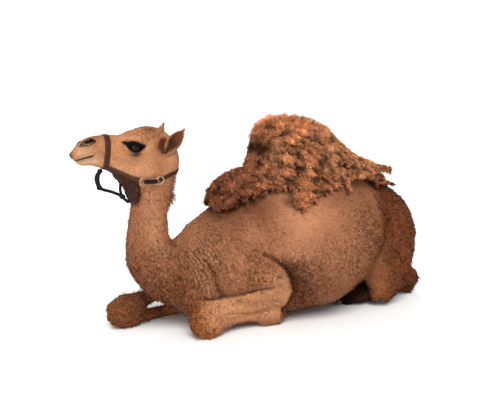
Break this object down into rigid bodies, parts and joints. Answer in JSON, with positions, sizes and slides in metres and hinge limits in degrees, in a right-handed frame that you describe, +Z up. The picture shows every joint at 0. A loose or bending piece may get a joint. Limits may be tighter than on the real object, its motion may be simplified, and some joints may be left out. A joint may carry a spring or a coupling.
{
  "type": "lying dromedary camel",
  "caption": "Still, life-size dromedary that lies on folded legs with its head raised, shorn but for wool over hump and back, in a leather halter.",
  "frame": {"origin": "on the floor, at the middle of the bounding box's base", "axes": "+Z up, the nose points to -X, the animal's left side is at -Y"},
  "size_m": [2.125, 0.84, 1.1002],
  "materials": {
    "coat": "short sandy brown hair over creased skin, ochre on the knees",
    "wool": "unshorn matted wool, orange brown and fluffy on the hump",
    "eye": "wet, near black",
    "nails": "worn dark horn",
    "halter_leather": "worn red brown leather",
    "webbing": "matt black webbing",
    "halter_rings": "dull polish"
  },
  "bodies": {
    "root": {"torso": "coat", "neck_lower": "coat", "neck_upper": "coat", "head": "coat", "left_ear": "coat", "right_ear": "coat", "left_eye": "eye", "right_eye": "eye", "left_upper_arm": "coat", "left_forearm": "coat", "left_knee": "coat", "left_cannon": "coat", "left_foot": "coat", "right_upper_arm": "coat", "right_forearm": "coat", "right_knee": "coat", "right_cannon": "coat", "right_foot": "coat", "left_thigh": "coat", "left_shank": "coat", "left_hock": "coat", "left_metatarsus": "coat", "left_hind_foot": "coat", "right_thigh": "coat", "right_shank": "coat", "right_hock": "coat", "right_metatarsus": "coat", "right_hind_foot": "coat", "left_fore_inner_nail": "nails", "left_fore_outer_nail": "nails", "right_fore_inner_nail": "nails", "right_fore_outer_nail": "nails", "left_hind_inner_nail": "nails", "left_hind_outer_nail": "nails", "right_hind_inner_nail": "nails", "right_hind_outer_nail": "nails", "tail": "coat", "tail_tuft": "wool", "hump_wool": "wool", "left_mantle": "wool", "right_mantle": "wool", "noseband": "halter_leather", "throat_wrap": "halter_leather", "left_jaw_strap": "halter_leather", "right_jaw_strap": "halter_leather", "crown_strap": "halter_leather", "left_link": "webbing", "right_link": "webbing", "chin_loop": "webbing", "left_front_ring": "halter_rings", "left_rear_ring": "halter_rings", "right_front_ring": "halter_rings", "right_rear_ring": "halter_rings"}
  },
  "joints": []
}
